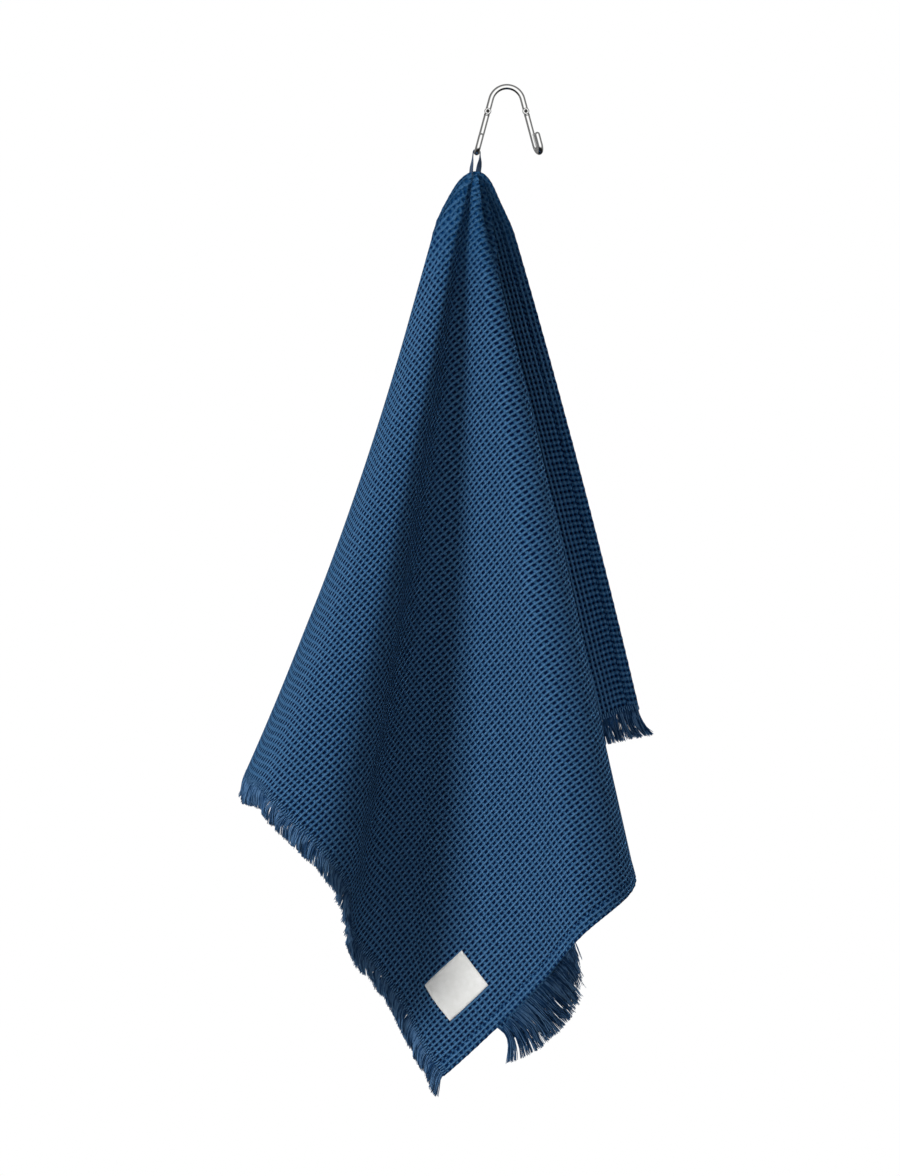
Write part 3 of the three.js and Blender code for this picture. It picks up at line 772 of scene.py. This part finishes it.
def woven_label():
    n, m = 45, 35
    across, fall = np.linspace(LABEL[1], LABEL[0], n), np.linspace(LABEL[2], LABEL[3], m)
    along, down = np.meshgrid(across, fall, indexing="ij")
    rim = np.minimum.reduce([along - LABEL[0], LABEL[1] - along, down - LABEL[2], LABEL[3] - down])
    edge = np.sqrt(np.clip(rim / 0.6, 0, 1))
    pillow = 0.35 * smooth_step(0.5, 3, rim) - 0.3 * np.exp(-(((rim - LABEL_SEAM) / 0.5) ** 2))
    normal = facing(along, down)
    base = CLOTH_THICKNESS / 2 + soft_creases(along, down)
    ease = 0.3 * np.sin(along * 0.35) * np.sin(down * 0.3)
    top = hung(along, down) + normal * (base + 0.15 + edge * (0.75 + pillow + ease * 0.6))[..., None]
    under = hung(along, down) + normal * (base + 0.05)[..., None]
    count = n * m
    faces = [grid_faces(n, m), grid_faces(n, m, count, flip=True)]
    far_side = [i * m + m - 1 for i in range(1, n)]
    back = [(n - 1) * m + j for j in range(m - 1)[::-1]]
    near_side = [i * m for i in range(n - 1)[::-1]]
    rim = np.array([*range(m), *far_side, *back, *near_side])
    faces.append(np.stack([rim[:-1], rim[:-1] + count, rim[1:] + count, rim[1:]], -1))
    flat = np.stack([along, down], -1).reshape(-1, 2)
    points = np.concatenate([top.reshape(-1, 3), under.reshape(-1, 3)])
    maps = {"cloth": np.concatenate([flat, flat])}
    return add_mesh("woven_label_ribbon", points, np.concatenate(faces), RIBBON, maps)


label = woven_label()


def label_stitches():
    """Short stitches a little inside the label's edge."""
    low_along, high_along = LABEL[0] + LABEL_SEAM, LABEL[1] - LABEL_SEAM
    low_down, high_down = LABEL[2] + LABEL_SEAM, LABEL[3] - LABEL_SEAM
    corners = [
        (low_along, low_down),
        (high_along, low_down),
        (high_along, high_down),
        (low_along, high_down),
    ]
    points, faces = [], []
    for (a0, d0), (a1, d1) in zip(corners, corners[1:] + corners[:1]):
        length = math.hypot(a1 - a0, d1 - d0)
        for k in range(int(length / LABEL_STITCH)):
            t = np.linspace((k + 0.15) * LABEL_STITCH, (k + 0.85) * LABEL_STITCH, 5) / length
            along, down = a0 + (a1 - a0) * t, d0 + (d1 - d0) * t
            normal = facing(along, down)
            arch = 0.72 + 0.22 * np.sin(np.linspace(0, np.pi, 5))
            lift = CLOTH_THICKNESS / 2 + soft_creases(along, down) + arch
            p, f = tube(hung(along, down) + normal * lift[:, None], 0.16, 6, up=normal[0])
            first = sum(len(x) for x in points)
            faces += [tuple(int(v) + first for v in face) for face in f]
            points.append(p)
    return add_mesh("label_stitches", np.concatenate(points), faces, LABEL_SEWING)


stitches = label_stitches()

# The loop: a narrow tape from inside the hem, over the wire and back.


def hanging_loop():
    half_width, half_thick, sides = 2.05, 0.42, 20
    bend = WIRE_RADIUS + half_thick + 0.08
    turn = np.linspace(np.pi, 0, 19)
    over = LOOP_CROWN + bend * np.stack([np.cos(turn), 0 * turn, np.sin(turn)], -1)
    foot = TOWEL_TOP + [[-4.3, 0.3, -6], [-4.2, 0.3, -1.5], [-3.8, 0.1, 3], [-3.1, 0, 8]]
    far_foot = TOWEL_TOP + [[2.5, 0, 8], [1.7, 0.1, 3], [1.0, 0.3, -1.5], [0.8, 0.3, -6]]
    route = resample(np.concatenate([foot, over, far_foot]), 0.45)
    for _ in range(4):
        route[1:-1] = (route[:-2] + 2 * route[1:-1] + route[2:]) / 4
    _, side, out = frames_along(route)
    length = np.r_[0, np.cumsum(np.linalg.norm(np.diff(route, axis=0), axis=1))]
    # The tape lies square on the wire and turns a little towards its feet.
    low = smooth_step(LOOP_CROWN[2], TOWEL_TOP[2] + 1, route[:, 2])
    twist = np.radians(np.where(length < length[-1] / 2, 38, 74) * low)[:, None]
    side, out = side * np.cos(twist) + out * np.sin(twist), out * np.cos(twist) - side * np.sin(twist)
    around = np.linspace(0, 2 * np.pi, sides, endpoint=False)
    flat = np.sign(np.cos(around)) * np.abs(np.cos(around)) ** 0.7 * half_width
    thick = np.sign(np.sin(around)) * np.abs(np.sin(around)) ** 0.6 * half_thick
    # In the seat of the hook its edges curl up with the wire.
    curl = smooth_step(LOOP_CROWN[2] - 1, LOOP_CROWN[2] + 2, route[:, 2])[:, None] * flat**2 * 0.1
    points = route[:, None] + side[:, None] * flat[:, None] + out[:, None] * (thick - curl)[..., None]
    uv = np.stack([np.repeat(length, sides), np.tile(flat, len(route))], -1)
    last = (len(route) - 1) * sides
    faces = [*grid_faces(len(route), sides, wrap=True), range(sides)[::-1], range(last, last + sides)]
    return add_mesh("tape_loop", points.reshape(-1, 3), faces, TAPE, {"tape": uv})


loop = hanging_loop()

# The hook: one bent wire with round tips, and a rivet through each leg.


def hook_end(side):
    centre, forward, fall = seat_centre(side), seat_forward(side), leg_direction(side)
    turn = np.linspace(0, np.pi, 25)[:, None]
    bend = centre + SEAT_RADIUS * (forward * np.cos(turn) + fall * np.sin(turn))
    tip = centre + SEAT_RADIUS * forward - UPTURN_LENGTH * fall
    return np.concatenate([[tip], bend, [leg_point(side, LEG_LENGTH / 2)]])


def hook_wire():
    turn = np.radians(np.linspace(180 - LEG_SPLAY, LEG_SPLAY, 40))
    centre = np.array([0, 0, WIRE_RADIUS - ARCH_RADIUS])
    arch = centre + ARCH_RADIUS * np.stack([np.cos(turn), 0 * turn, np.sin(turn)], -1)
    route = resample(np.concatenate([hook_end(-1), arch, hook_end(1)[::-1]]), 0.55)
    length = np.r_[0, np.cumsum(np.linalg.norm(np.diff(route, axis=0), axis=1))]
    # Round tips: the wire goes on past each tip as a half ball.
    heading = unit(np.gradient(route, axis=0))
    ball = np.sin(np.linspace(0, np.pi / 2, 9))[1:]
    start = route[0] - heading[0] * WIRE_RADIUS * ball[::-1, None]
    end = route[-1] + heading[-1] * WIRE_RADIUS * ball[:, None]
    cap = np.sqrt(np.clip(1 - ball**2, 0.0004, 1))
    radius = WIRE_RADIUS * np.concatenate([cap[::-1], np.ones(len(route)), cap])
    points, faces = tube(np.concatenate([start, route, end]), radius, 32)
    return add_mesh("double_hook_wire", points, faces, CHROME)


wire = hook_wire()


def rivets():
    """A round rivet through each leg. Each head is a ring on a collar, with a dimple in its middle."""
    profile = (
        # along Y from the leg's axis, radius
        (2.3, 0.02),
        (2.4, 0.6),
        (2.75, 1.05),
        (3.0, 1.45),
        (3.05, 1.8),
        (2.9, 2.2),
        (2.45, 2.5),
        (1.75, 2.6),
        (1.0, 2.65),
    )
    profile = [*profile, *((-y, r) for y, r in profile[::-1])]
    sides = 32
    turn = np.arange(sides) * 2 * np.pi / sides
    ring = np.stack([np.cos(turn), 0 * turn, np.sin(turn)], -1)
    points, faces = [], []
    for k, side in enumerate((-1, 1)):
        place = leg_point(side, RIVET_DOWN_LEG)
        first = k * len(profile) * sides
        points += [place + [0, y, 0] + r * ring for y, r in profile]
        last = first + (len(profile) - 1) * sides
        faces += [*grid_faces(len(profile), sides, first, wrap=True), range(first, first + sides)[::-1]]
        faces.append(range(last, last + sides))
    return add_mesh("hook_rivets", np.concatenate(points), faces, CHROME)


rivet_pair = rivets()


def leg_joints():
    """The dark core of each rivet, a painted dark reflection, and a dark line round the leg below it, where
    two lengths of wire meet.
    """
    below_rivet, half_line, line_radius = 3.2, 0.25, WIRE_RADIUS + 0.03
    half_core, core_radius = 2.62, 0.9
    points, faces = [], []
    for side in (-1, 1):
        along_leg = np.linspace(-half_line, half_line, 3)[:, None] * leg_direction(side)
        line = leg_point(side, RIVET_DOWN_LEG + below_rivet) + along_leg
        core = leg_point(side, RIVET_DOWN_LEG) + np.linspace(-half_core, half_core, 9)[:, None] * [0, 1, 0]
        for route, radius, way_up in ((line, line_radius, (0, -1, 0)), (core, core_radius, (0, 0, 1))):
            p, f = tube(route, radius, 32, way_up)
            first = sum(len(x) for x in points)
            faces += [tuple(int(v) + first for v in face) for face in f]
            points.append(p)
    return add_mesh("hook_joint_lines", np.concatenate(points), faces, JOINT_DARK_AND_PAINTED_REFLECTION)


joints = leg_joints()

# What each piece rides on and stands for.

for piece, slot_name, nodes in (
    (cloth, "cotton_waffle", ["towel_cloth"]),
    (upper_edge, "cotton_waffle", []),
    (lower_edge, "cotton_waffle", []),
    (left_fringe, "cotton_fringe", ["fringe_left"]),
    (right_fringe, "cotton_fringe", ["fringe_right"]),
    (label, "label_ribbon", ["woven_label"]),
    (stitches, "label_ribbon", []),
    (loop, "cotton_tape", ["hanging_loop"]),
    (wire, "chromed_wire", ["double_hook"]),
    (rivet_pair, "chromed_wire", []),
    (joints, "chromed_wire", []),
):
    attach(piece, "root")
    if nodes:
        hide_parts(*nodes)

# The studio: a pale floor, a bright surround, a soft key light from the upper left, a small low
# bounce from the right, and three lights behind.


def floor():
    f = Finish("pale floor", Roughness=0.8)
    tone = f.noise(f.place(), 3.0, 3.0)
    f.shade(Base_Color=f.blend(tone, (0.8, 0.8, 0.8), (0.84, 0.84, 0.84)))
    size, height = 1500.0, -1000.0
    points = [(-size, -size, height), (size, -size, height), (size, size, height), (-size, size, height)]
    return add_mesh("studio_floor", points, [(0, 1, 2, 3)], f.material)


ground = floor()
ground.visible_glossy = False


def surround():
    """White behind the towel. Its light comes from in front and above, and little from below or the sides."""
    world = bpy.data.worlds.new("studio")
    bpy.context.scene.world = world
    w = Tree(world)
    x, y, z = w.parts(w.node("ShaderNodeTexCoord"))
    toward_window = y * -0.7 + z * 0.58 + x * -0.42
    level = 0.03 + toward_window.step(0.5, 0.93) * 0.68 + z.step(0.9, 1.0) * 0.25
    # The chrome sees a white front, greyer sides, a small white back, and black below.
    front = y * -1 - x.size() * 0.12 + x * 0.1
    white_front = (0.17 + front.step(0.5, 0.86) * 0.95) * z.step(-0.66, -0.36)
    level_in_chrome = white_front + y.step(0.85, 0.97) * 0.8 + 0.015
    in_chrome = w.node("ShaderNodeLightPath", output=3)
    level = level + (level_in_chrome - level) * in_chrome
    seen = w.node("ShaderNodeLightPath")
    w.feed(w.nodes["Background"].inputs["Color"], (1.0, 1.0, 1.0))
    w.feed(w.nodes["Background"].inputs["Strength"], level * (1 - seen) + seen)


surround()


def soft_light(name, place, target, size, watts, spread=180.0):
    data = bpy.data.lights.new(name, "AREA")
    data.shape = "RECTANGLE"
    data.size, data.size_y = size
    data.energy = watts
    data.spread = math.radians(spread)
    light = bpy.data.objects.new(name, data)
    bpy.context.scene.collection.objects.link(light)
    light.location = place
    light.visible_glossy = False
    toward = np.array(target) - np.array(place)
    pitch = math.atan2(math.hypot(toward[0], toward[1]), -toward[2])
    light.rotation_euler = (pitch, 0, math.atan2(toward[1], toward[0]) - math.pi / 2)


TOWEL_MIDDLE = (0, 0, -0.4)
soft_light("key", (-2.0, -1.5, 1.0), TOWEL_MIDDLE, (0.7, 1.0), 86)
# A narrow beam at the flap, so that the dark trough of the front stays dark.
soft_light("low bounce", (1.35, -1.2, -0.9), (0.28, 0.1, -0.42), (0.5, 0.5), 0.5, 18.0)
soft_light("back", (0.7, 2.4, 0.7), TOWEL_MIDDLE, (1.6, 1.2), 60)
soft_light("right back", (2.4, 1.3, 0.2), TOWEL_MIDDLE, (1.0, 1.4), 30)
soft_light("left back", (-2.4, 1.3, 0.2), TOWEL_MIDDLE, (1.0, 1.4), 14)

# The camera: far off with a long lens, square to the towel as the photo is.

FRAME_HEIGHT = 0.869
FRAME_MIDDLE_X, FRAME_MIDDLE_Z = -0.042, -0.3683
LENS = 400.0
FILM_HEIGHT = 24.0
camera_data = bpy.data.cameras.new("camera")
camera_data.sensor_fit = "VERTICAL"
camera_data.sensor_height = FILM_HEIGHT
camera_data.lens = LENS
camera = bpy.data.objects.new("camera", camera_data)
bpy.context.scene.collection.objects.link(camera)
camera.location = (FRAME_MIDDLE_X, -FRAME_HEIGHT * LENS / FILM_HEIGHT, FRAME_MIDDLE_Z)
camera.rotation_euler = (math.pi / 2, 0, 0)
bpy.context.scene.camera = camera
bpy.context.scene.view_settings.view_transform = "Standard"
